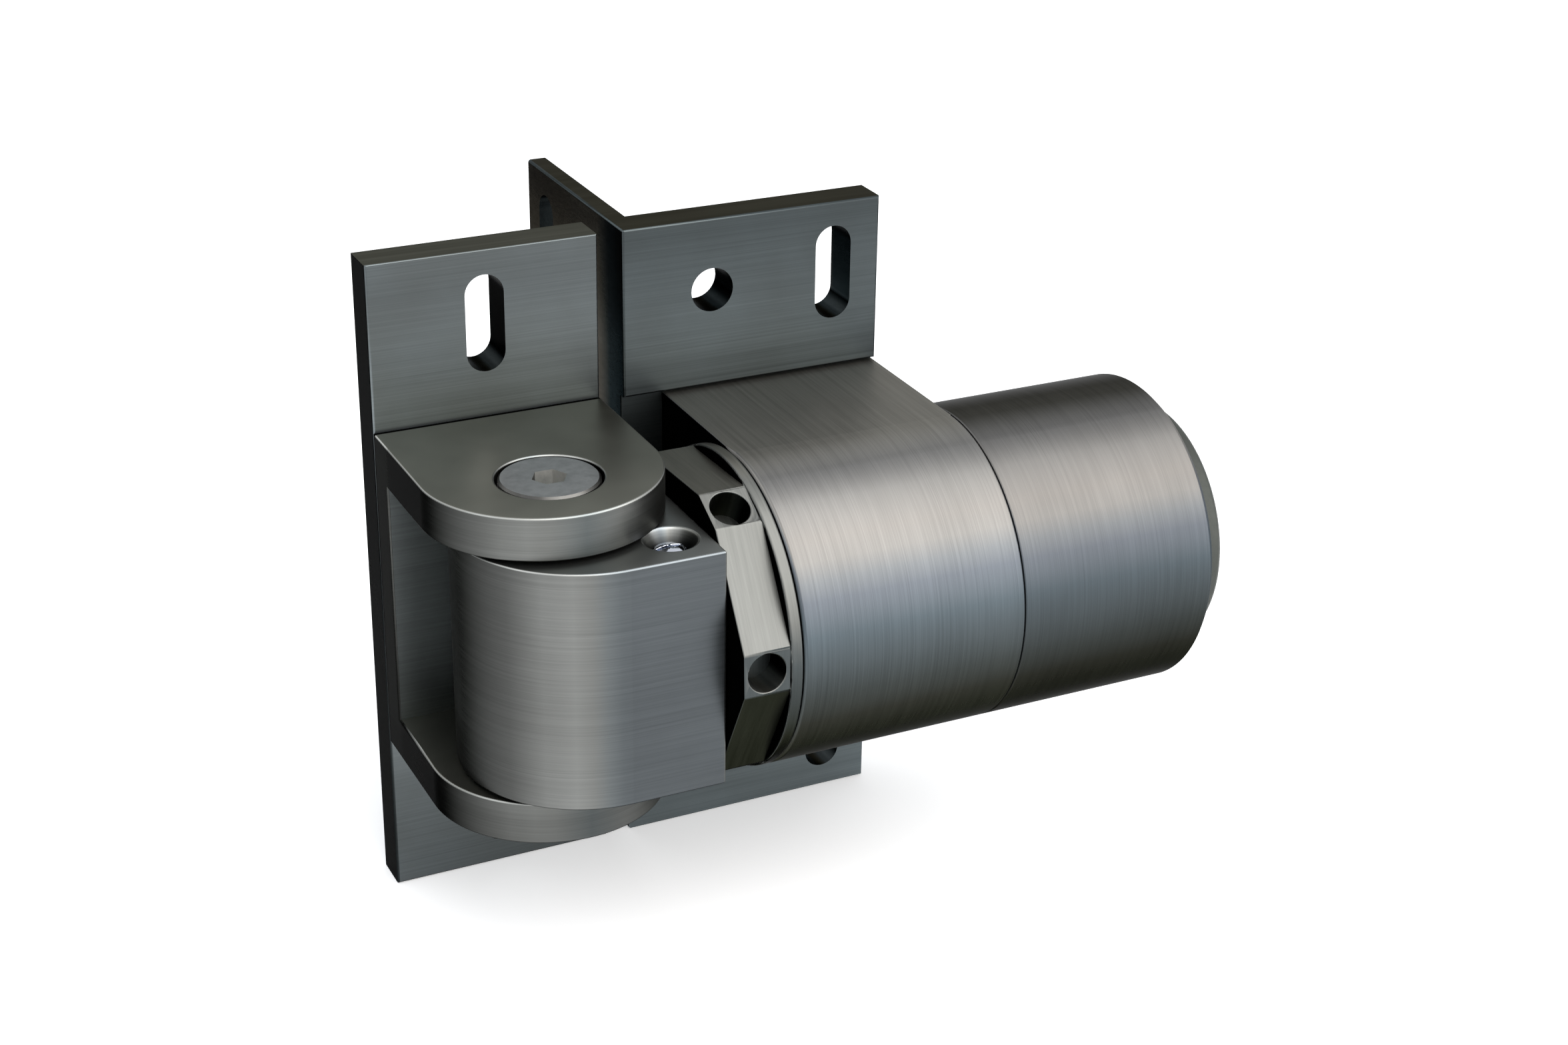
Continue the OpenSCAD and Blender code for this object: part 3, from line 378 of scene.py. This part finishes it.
# Brushed or turned steel.
#   colour, low   the two that soft clouds blend, and paintedTop is the colour of level faces,
#                 with painted light and shade for how they catch the light
#   side, up      the two tables above, of painted light and shade, that darken or brighten the colour
#   streak        cells per metre of the brush lines: few along the stroke and many across it
#   rough, bump   the two ends of the roughness, and how strong the lines stand out
#   grain         how far the brush lines change the brightness
#   paintedLightRuns, paintedShadeRuns  painted light and shade as factors that change along an axis
#                 (axis, start, end, first, last), where the axis is 0, 1 or 2; paintedLightRuns
#                 leave out level faces
#   flank  the same with two colours, painted light and shade on faces that look along -x
#   paintedRimHighlight  (height, gain): a painted highlight along the upper end
#   bowl          stops of (distance from the valve's axis, level): painted shade at the foot of its
#                 bowl and a painted highlight at its rim
steelFinishes = {
    "plateSteel": dict(
        colour=(0.112, 0.128, 0.134), low=(0.104, 0.116, 0.117), paintedTop=(0.056, 0.057, 0.049),
        side=plateSides, up=plateUp, streak=(10, 700, 3200), rough=(0.33, 0.38), bump=0.05,
        # painted light and shade, lighter low down and darker to the top and foot; painted top-edge
        # highlight
        paintedShadeRuns=((2, 57, 84, 1.19, 0.66), (2, -60, -45, 0.71, 1.0)), paintedRimHighlight=(92.5, 9.5),
        # painted shade low down on the faces that look along -x
        flank=(2, -60, 30, (0.40, 0.40, 0.36), (1.0, 1.0, 1.0)),
    ),
    "forkSteel": dict(
        colour=(0.240, 0.248, 0.240), low=(0.222, 0.229, 0.218), paintedTop=(0.700, 0.655, 0.550),
        side=forkSides, up=blockUp, streak=(20, 20, 3200), rough=(0.33, 0.38), bump=0.05,
        # painted light on the web's face behind the block, which lies in shade
        paintedLightRuns=((1, blockBack - 1, blockBack + 1, 1.0, 1.8),),
        # a painted shadow line where the ears meet the plate, and painted shade lower down
        paintedShadeRuns=((1, forkBack - 1.5, forkBack - 1.1, 1.0, 0.02), (2, -40, -33, 0.74, 1.0)),
    ),
    "blockSteel": dict(
        colour=(0.240, 0.248, 0.240), low=(0.230, 0.236, 0.228), paintedTop=(0.990, 0.960, 0.850),
        side=blockSides, up=blockUp, streak=(18, 18, 3000), rough=(0.32, 0.38), bump=0.06,
        # painted shade down the valve's bowl and a painted highlight at its rim
        bowl=((4.9, 0.08), (6.0, 0.25), (6.9, 0.60), (7.3, 1.30), (7.6, 1.0)),
    ),
    "cylinderSteel": dict(
        colour=(0.290, 0.294, 0.294), low=(0.280, 0.284, 0.284), paintedTop=(0.205, 0.203, 0.186),
        side=plateSides, up=cylinderUp, streak=(3000, 24, 24), rough=(0.42, 0.47), bump=0.06,
        grain=0.19,
    ),
    "sleeveSteel": dict(
        colour=(0.232, 0.234, 0.234), low=(0.225, 0.226, 0.226), paintedTop=(0.060, 0.060, 0.055),
        side=plateSides, up=cylinderUp, streak=(3000, 24, 24), rough=(0.42, 0.47), bump=0.06,
    ),
    "collarSteel": dict(
        colour=(0.180, 0.187, 0.180), low=(0.172, 0.178, 0.170), paintedTop=(0.260, 0.258, 0.230),
        side=plateSides, up=collarUp, streak=(2000, 40, 40), rough=(0.36, 0.44), bump=0.06,
    ),
    "pinSteel": dict(
        colour=(0.515, 0.515, 0.495), low=(0.480, 0.480, 0.460), paintedTop=(0.415, 0.430, 0.436),
        side=pinSides, up=pinUp, streak=(400, 400, 400), rough=(0.33, 0.38), bump=0.04,
    ),
    "bracketSteel": dict(
        colour=(0.086, 0.102, 0.108), low=(0.080, 0.093, 0.096), paintedTop=(0.054, 0.053, 0.044),
        side=legSides, up=plateUp, streak=(10, 700, 3200), rough=(0.33, 0.38), bump=0.05,
        # painted light and shade, lighter low down and darker to the top; painted top-edge
        # highlight
        paintedShadeRuns=((2, 57, 72, 1.35, 0.82), (2, 72, 90, 1.0, 0.62)), paintedRimHighlight=(92.5, 7.8),
        # painted light on the faces that look along -x, stronger further back
        flank=(1, -2, 6, (1.0, 1.0, 1.0), (2.7, 2.2, 1.9)),
    ),
    "innerSteel": dict(
        colour=(0.430, 0.440, 0.450), low=(0.400, 0.405, 0.410), paintedTop=(0.430, 0.440, 0.450),
        side=evenSides, up=innerUp, streak=(1500, 60, 60), rough=(0.28, 0.42), bump=0.08,
    ),
}

# what every steel has; a face's x or z says how far it looks that way, from -1 to 1
steelSettings = dict(
    wideStreaks=3,               # times as broad as the fine ones
    wideShare=0.30,              # and how much of the brushing they are
    cloudCells=30,               # per metre
    cloudLevels=(0.95, 1.05),
    grain=0.15,
    levelFaces=(0.94, 0.998),    # z where the painted top colour starts and is full
    flankFaces=(-0.9, -1.0),     # x of the same for the painted flank
    rimHighlightFaces=(0.25, 0.40),     # z of the same for the painted rim highlight
    rimHighlightRise=0.5,               # height over which the painted rim highlight comes in
    bowlReach=10,
    tint=(0.34, 0.34, 0.34, 1),  # oiled steel stays dark at a glance
    bumpDepth=0.02,
)


def along(g, base, place, run):
    # the colour times a factor that goes evenly from first to last between two places on an axis
    axis, start, end, first, last = run
    return g.scaled(base, g.ranged(place[axis], start * mm, end * mm, first, last))


def flanked(g, base, place, x, run):
    # painted light and shade: faces that look along -x are tinted by a colour that goes evenly
    # from first to last
    axis, start, end, first, last = run
    tint = g.mix(g.ranged(place[axis], start * mm, end * mm), first, last)
    return g.mix(g.ranged(x, *steelSettings["flankFaces"]), base, g.tinted(base, tint))


def paintRimHighlight(g, base, place, z, paintedRimHighlight):
    # painted highlight: times one plus the gain, above the height and on faces that look up, so
    # that the upper edges shine while the lower walls of the holes keep their painted shade
    height, gain = paintedRimHighlight
    above = g.ranged(place[2], height * mm, (height + steelSettings["rimHighlightRise"]) * mm, 0.0, gain)
    shown = g.maths("MULTIPLY", above, g.ranged(z, *steelSettings["rimHighlightFaces"]))
    return g.scaled(base, g.maths("ADD", shown, 1.0))


def bowled(g, base, place, stops):
    # painted shade and highlight: tinted by the distance from the valve's axis, the root of the two
    # squares across it
    squares = [g.maths("POWER", g.maths("SUBTRACT", place[k], valveAxis[k]), 2.0) for k in (0, 1)]
    away = g.maths("SQRT", g.maths("ADD", *squares))
    metres = [(at * mm, level) for at, level in stops]
    return g.tinted(base, g.ramp(away, 0, steelSettings["bowlReach"] * mm, metres))


def steel(name, s):
    # fine and broad streaks are blended for the brushing, which moves brightness and roughness
    shared = steelSettings
    g = Graph(name)
    fine = g.noise(s["streak"], detail=3.0, rough=0.7)
    wide = g.noise([v / shared["wideStreaks"] for v in s["streak"]], detail=2.0, rough=0.5)
    clouds = g.noise([shared["cloudCells"]] * 3, detail=3.0, rough=0.5)
    brushed = g.maths("ADD", g.maths("MULTIPLY", wide, shared["wideShare"]),
                      g.maths("MULTIPLY", fine, 1 - shared["wideShare"]))
    x, y, z = g.axesOf("Normal")
    place = g.axesOf("Object")
    base = g.mix(g.spread(clouds), s["low"], s["colour"])
    # painted light on walls that lie in shade, along an axis
    for run in s.get("paintedLightRuns", ()):
        base = along(g, base, place, run)
    # painted light and shade: level faces take the painted top colour
    base = g.mix(g.ranged(z, *shared["levelFaces"]), base, s["paintedTop"])
    # painted light and shade by the way each face looks
    for way, stops in ((x, s["side"]), (z, s["up"])):
        base = g.tinted(base, g.ramp(way, -1, 1, stops))
    grain = s.get("grain", shared["grain"])
    base = g.scaled(base, g.spread(brushed, 1 - grain, 1 + grain))
    base = g.scaled(base, g.spread(clouds, *shared["cloudLevels"]))
    # painted light and shade along an axis
    for run in s.get("paintedShadeRuns", ()):
        base = along(g, base, place, run)
    # painted light and shade on faces that look along -x
    if "flank" in s:
        base = flanked(g, base, place, x, s["flank"])
    # a painted highlight along the upper edges
    if "paintedRimHighlight" in s:
        base = paintRimHighlight(g, base, place, z, s["paintedRimHighlight"])
    # painted shade in the valve's bowl, with a painted highlight at its rim
    if "bowl" in s:
        base = bowled(g, base, place, s["bowl"])
    g.fill(g.shader.inputs["Base Color"], base)
    g.fill(g.shader.inputs["Roughness"], g.spread(brushed, *s["rough"]))
    g.shader.inputs["Metallic"].default_value = 1.0
    g.shader.inputs["Specular Tint"].default_value = shared["tint"]
    g.bump(fine, s["bump"], shared["bumpDepth"])
    return g.material


# Coated or moulded finishes: clouds blend colour and dark, and a grain of this size in mm moves the
# roughness between its two ends.
coatFinishes = {
    "capBlack": dict(colour=(0.050, 0.056, 0.050), dark=(0.038, 0.042, 0.038),
                     rough=(0.38, 0.52), metal=0.6, grain=0.9),
    "screwBlack": dict(colour=(0.045, 0.045, 0.048), dark=(0.028, 0.028, 0.030),
                       rough=(0.34, 0.48), metal=0.8, grain=0.6),
    "sealRubber": dict(colour=(0.020, 0.020, 0.020), dark=(0.013, 0.013, 0.013),
                       rough=(0.55, 0.70), metal=0.0, grain=0.4),
    "bearingBronze": dict(colour=(0.560, 0.420, 0.230), dark=(0.420, 0.300, 0.160),
                          rough=(0.30, 0.44), metal=1.0, grain=0.8),
    "brightChrome": dict(colour=(0.520, 0.555, 0.620), dark=(0.440, 0.470, 0.540),
                         rough=(0.06, 0.12), metal=1.0, grain=1.2),
    "springSteel": dict(colour=(0.120, 0.125, 0.135), dark=(0.080, 0.082, 0.090),
                        rough=(0.28, 0.42), metal=1.0, grain=0.7),
}
coatSettings = dict(cloudCells=60, detail=4.0, noiseRough=0.6, bump=0.08, bumpDepth=0.03)


def coat(name, s):
    # clouds move the colour, and a finer grain moves the roughness and the bump
    shared = coatSettings
    g = Graph(name)
    grain = g.noise([1 / (s["grain"] * mm)] * 3, shared["detail"], shared["noiseRough"])
    clouds = g.noise([shared["cloudCells"]] * 3, shared["detail"], shared["noiseRough"])
    g.fill(g.shader.inputs["Base Color"], g.mix(g.spread(clouds), s["dark"], s["colour"]))
    g.fill(g.shader.inputs["Roughness"], g.spread(grain, *s["rough"]))
    g.shader.inputs["Metallic"].default_value = s["metal"]
    g.bump(grain, shared["bump"], shared["bumpDepth"])
    return g.material


finishes = {name: steel(name, s) for name, s in steelFinishes.items()}
finishes.update({name: coat(name, s) for name, s in coatFinishes.items()})
print("materials made:", len(finishes))

# The seen pieces are copies of their nodes with worn, rounded edges. For each node: piece name,
# finish, material slot, width of the rounding, and the length that an edge has to pass to get it,
# which on the two plates keeps the rims of holes and slots crisp.
edgedPieces = {
    "post_plate": ("postPlate", "plateSteel", "dark_steel", 0.6, 25),
    "fork": ("forkBody", "forkSteel", "dark_steel", 0.6, 0.3),
    "knuckle_block": ("knuckleBlock", "blockSteel", "block_steel", 0.6, 0.3),
    "adjuster_collar": ("adjusterCollar", "collarSteel", "collar_steel", 0.35, 0.3),
    "saddle_housing": ("saddleHousing", "cylinderSteel", "cylinder_steel", 0.4, 1),
    "rear_sleeve": ("rearSleeve", "sleeveSteel", "cylinder_steel", 0.3, 0.3),
    "end_cap": ("endCap", "capBlack", "cap_black", 0.5, 0.3),
    "gate_bracket": ("gateBracket", "bracketSteel", "dark_steel", 0.7, 25),
    "valve_screw": ("valveScrew", "brightChrome", "chrome", 0.25, 0.3),
}
edgeSettings = dict(
    mergeWithin=0.002,    # corners of the node's loose triangles that are nearer become one
    flatWithin=0.4,       # degrees: triangles that turn by less become one face
    sharpFrom=24,         # degrees: faces that turn by more meet in a sharp edge
    segments=3,
    blockShort=10,        # the block's edges under this are rounded on its two ends alone
    blockEnd=0.999,       # share of its half height where an end starts
    wideCorners=4,        # a face with more corners and a larger area gets even shading
    wideArea=300,         # square mm
)
# the screw's head, this far down from its top, is raised nearer to the mouth of its bowl
valveLift = dict(under=2.6, rise=1.1)
# where the saddle's front chamfer ends before this y, it runs out over this length
chamferEnd = dict(before=-50.0, length=8.0, within=0.01)

bodies = frame["record"]["behaviour"]["bodies"]
bodyOf = {node: body for body, nodes in bodies.items() for node in nodes}
blockEnd = edgeSettings["blockEnd"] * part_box("knuckle_block")[1][2]


def addPiece(name, mesh, finish, node):
    # a finished piece that stands for a node and rides on the node's own body
    piece = linked(name, mesh)
    mesh.materials.clear()
    mesh.materials.append(finishes[finish])
    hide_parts(node)
    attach(piece, bodyOf[node])
    return piece


def pointsOf(mesh):
    # all its points as rows of x, y and z
    points = np.empty(len(mesh.vertices) * 3)
    mesh.vertices.foreach_get("co", points)
    return points.reshape(-1, 3)


def isWorn(edge, node, shortest, s):
    # an outer edge that is sharp and long enough; the block's bores cross each other inside, so
    # its short edges count only where both corners lie on an end
    length = edge.calc_length()
    sharp = edge.calc_face_angle(0) > math.radians(s["sharpFrom"])
    worn = edge.is_convex and sharp and length > shortest * mm
    if node == "knuckle_block" and length < s["blockShort"] * mm:
        worn = worn and all(abs(v.co.z) > blockEnd for v in edge.verts)
    return worn


def mergedCopy(node, name, shortest, s):
    # the node's own triangles, joined at their corners and into flat faces, with worn edges marked
    work = bmesh.new()
    work.from_mesh(frame["nodes"][node].data)
    bmesh.ops.remove_doubles(work, verts=work.verts, dist=s["mergeWithin"] * mm)
    bmesh.ops.dissolve_limit(work, angle_limit=math.radians(s["flatWithin"]),
                             verts=work.verts, edges=work.edges)
    weight = work.edges.layers.float.new("bevel_weight_edge")
    for edge in work.edges:
        edge[weight] = float(isWorn(edge, node, shortest, s))
    mesh = bpy.data.meshes.new(name)
    work.to_mesh(mesh)
    work.free()
    return mesh


def roundedMesh(mesh, width, s):
    # the same mesh with a bevel of this width applied to its marked edges
    rough = linked(mesh.name + ".rough", mesh)
    bevel = rough.modifiers.new("edges", "BEVEL")
    bevel.width = width * mm
    bevel.segments = s["segments"]
    bevel.limit_method = "WEIGHT"
    bevel.use_clamp_overlap = False
    bevel.harden_normals = True
    seen = bpy.context.evaluated_depsgraph_get()
    worked = bpy.data.meshes.new_from_object(rough.evaluated_get(seen),
                                             preserve_all_data_layers=True, depsgraph=seen)
    bpy.data.objects.remove(rough)
    bpy.data.meshes.remove(mesh)
    return worked


def flattenShading(mesh, s):
    # a wide flat face with holes is shaded by its own normal, not by what its rims lean to
    count = len(mesh.polygons)
    corners, area = np.empty(count, int), np.empty(count)
    faces, normals = np.empty(count * 3), np.empty(len(mesh.loops) * 3)
    mesh.polygons.foreach_get("loop_total", corners)
    mesh.polygons.foreach_get("area", area)
    mesh.polygons.foreach_get("normal", faces)
    mesh.corner_normals.foreach_get("vector", normals)
    owner = np.repeat(np.arange(count), corners)
    flat = ((corners > s["wideCorners"]) & (area > s["wideArea"] * mm ** 2))[owner]
    normals = normals.reshape(-1, 3)
    normals[flat] = faces.reshape(-1, 3)[owner][flat]
    mesh.normals_split_custom_set(normals.tolist())


def edgedCopy(node, name, finish, slotName, width, shortest):
    # the node's own shape with its worn edges rounded; no rounding passes the node's own box
    s = edgeSettings
    low, high = (np.array(v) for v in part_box(node))
    mesh = mergedCopy(node, name, shortest, s)
    points = pointsOf(mesh)
    if node == "valve_screw":
        # all points near the top rise together
        points[:, 2] += valveLift["rise"] * mm * (points[:, 2] > high[2] - valveLift["under"] * mm)
        high[2] += valveLift["rise"] * mm
    if node == "saddle_housing":
        # where the chamfer ends on the front, its corners move back along the two flats
        near = chamferEnd["within"] * mm
        step = (points[:, 0] < low[0] + near) & (abs(points[:, 2]) > high[2] - near)
        step &= points[:, 1] < chamferEnd["before"] * mm
        points[:, 1] += chamferEnd["length"] * mm * step
    mesh.vertices.foreach_set("co", points.ravel())
    mesh.shade_smooth()
    mesh.set_sharp_from_angle(angle=math.radians(s["sharpFrom"]))
    worked = roundedMesh(mesh, width, s)
    worked.name = name
    worked.vertices.foreach_set("co", np.clip(pointsOf(worked), low, high).ravel())
    flattenShading(worked, s)
    return addPiece(name, worked, finish, node)


for node, settings in edgedPieces.items():
    made = edgedCopy(node, *settings)
    print("edged piece:", made.name, len(made.data.polygons), "faces")

springSettings = dict(
    wire=7.0,
    coils=5,           # the first and the last are close ones
    closeGap=0.5,      # between the turns of a close coil
    middleY=-57.5,     # the cylinder's axis
    splitTurn=1.75,    # the ring of the wire where the near piece meets the far one, in turns
    sides=20,          # round the wire
    steps=64,          # along each coil
    rimAngle=50,       # degrees across an edge that stays sharp
)


def wireMesh(name, grid, rimAngle):
    # quads between the rings of the wire, and a face over each end
    points = grid.reshape(-1, 3)
    rows, sides = grid.shape[:2]
    i, k = np.meshgrid(np.arange(rows - 1), np.arange(sides), indexing="ij")
    here, beside = i * sides + k, i * sides + (k + 1) % sides
    quads = np.stack([here, here + sides, beside + sides, beside], axis=-1).reshape(-1, 4).tolist()
    ends = [list(range(sides)), list(range(len(points) - 1, len(points) - 1 - sides, -1))]
    mesh = bpy.data.meshes.new(name)
    mesh.from_pydata(points.tolist(), [], quads + ends)
    mesh.shade_smooth()
    mesh.set_sharp_from_angle(angle=math.radians(rimAngle))
    return mesh


def makeSpring(s):
    # A round wire carried along a helix. A point's reach from the cylinder's axis is the helix's
    # radius plus half the wire times the cosine of its angle round the wire, and half the wire
    # times the sine is added along the axis. The helix itself goes on along the axis by one close
    # coil, evenly over the open coils, and by one close coil again.
    low, high = (np.array(v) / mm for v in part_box("main_spring"))
    half = s["wire"] / 2
    radius = (high[2] - low[2]) / 2 - half
    close = s["wire"] + s["closeGap"]
    openCoils = s["coils"] - 2
    pitch = (high[0] - low[0] - s["wire"] - 2 * close) / openCoils
    turn = np.linspace(0, s["coils"], s["coils"] * s["steps"] + 1)
    way = np.interp(turn, (0, 1, s["coils"] - 1, s["coils"]),
                    np.cumsum((0, close, pitch * openCoils, close)))
    around = 2 * np.pi * turn[:, None]
    ring = 2 * np.pi * np.arange(s["sides"])[None, :] / s["sides"]
    reach = radius + half * np.cos(ring)
    grid = np.stack([low[0] + half + way[:, None] + half * np.sin(ring),
                     s["middleY"] + reach * np.cos(around), reach * np.sin(around)], axis=-1) * mm
    # the wire is split at that ring: the near piece is listed with the seat's joint and the far
    # piece with the rod's, each with its length from the ring
    split = round(s["splitTurn"] * s["steps"])
    still = (low[0] + half + way[split]) * mm
    parts = (("mainSpringNear", grid[:split + 1], "seat_slide", still - low[0] * mm),
             ("mainSpringFar", grid[split:], "rack_slide", high[0] * mm - still))
    for name, rings, joint, length in parts:
        mesh = wireMesh(name, rings, s["rimAngle"])
        spring = addPiece(name, mesh, "springSteel", "main_spring")
        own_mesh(spring)
        print("spring piece:", name, len(mesh.polygons), "faces")


makeSpring(springSettings)

# the nodes that stay as they are, by finish
nodeFinishes = {
    "pinSteel": ("hinge_pin", "pin_end_disc"),
    "innerSteel": ("pin_key", "spring_seat", "seat_key", "guide_tube", "rack_bar", "damper_piston",
                   "crosshead", "cross_pin", "spring_follower"),
    "springSteel": ("gland_clip", "piston_ring"),
    "screwBlack": ("pin_end_screw", "fork_screws", "bracket_screws", "fill_plug", "rod_locknut"),
    "bearingBronze": ("upper_bush", "lower_bush", "thrust_washer", "rod_gland"),
    "sealRubber": ("upper_pin_seal", "lower_pin_seal", "valve_seal", "rod_seal", "end_cap_seal"),
    "brightChrome": ("check_ball", "pull_rod"),
}
for finish, nodes in nodeFinishes.items():
    for node in nodes:
        slots = frame["nodes"][node].data.materials
        if not slots:
            slots.append(finishes[finish])
        for k in range(len(slots)):
            slots[k] = finishes[finish]
print("node finishes set:", sum(len(nodes) for nodes in nodeFinishes.values()))
